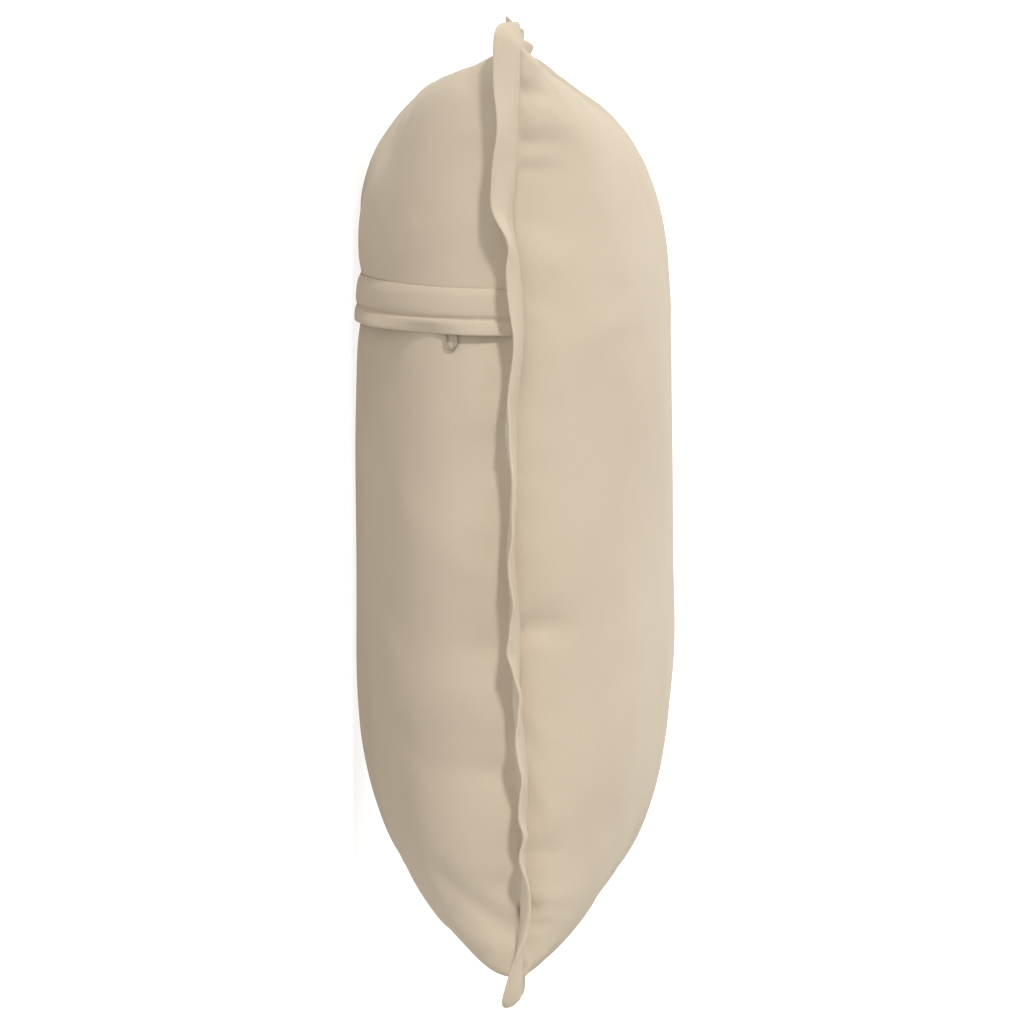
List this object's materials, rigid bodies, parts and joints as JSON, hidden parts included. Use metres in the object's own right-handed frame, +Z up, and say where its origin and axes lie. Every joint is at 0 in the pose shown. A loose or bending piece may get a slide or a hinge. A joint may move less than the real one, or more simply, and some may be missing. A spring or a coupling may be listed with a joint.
{
  "type": "back cushion",
  "caption": "Plump rectangular back cushion in plain cloth, with a wavy flange all round its seam and a zip flap across its back.",
  "frame": {"origin": "on the surface that the cushion's back rests on, below the middle of its box", "axes": "+X along the width, +Y from the bottom edge to the top edge, +Z up, out of the front face"},
  "size_m": [0.5968, 0.3858, 0.1286],
  "materials": {
    "cloth": "plain smooth weave, matt, warm beige",
    "ring": "wire painted a darker beige, satin"
  },
  "bodies": {
    "root": {"cushion_cover": "cloth", "flange": "cloth", "zip_flap": "cloth", "zip_pull_ring": "ring"}
  },
  "joints": []
}
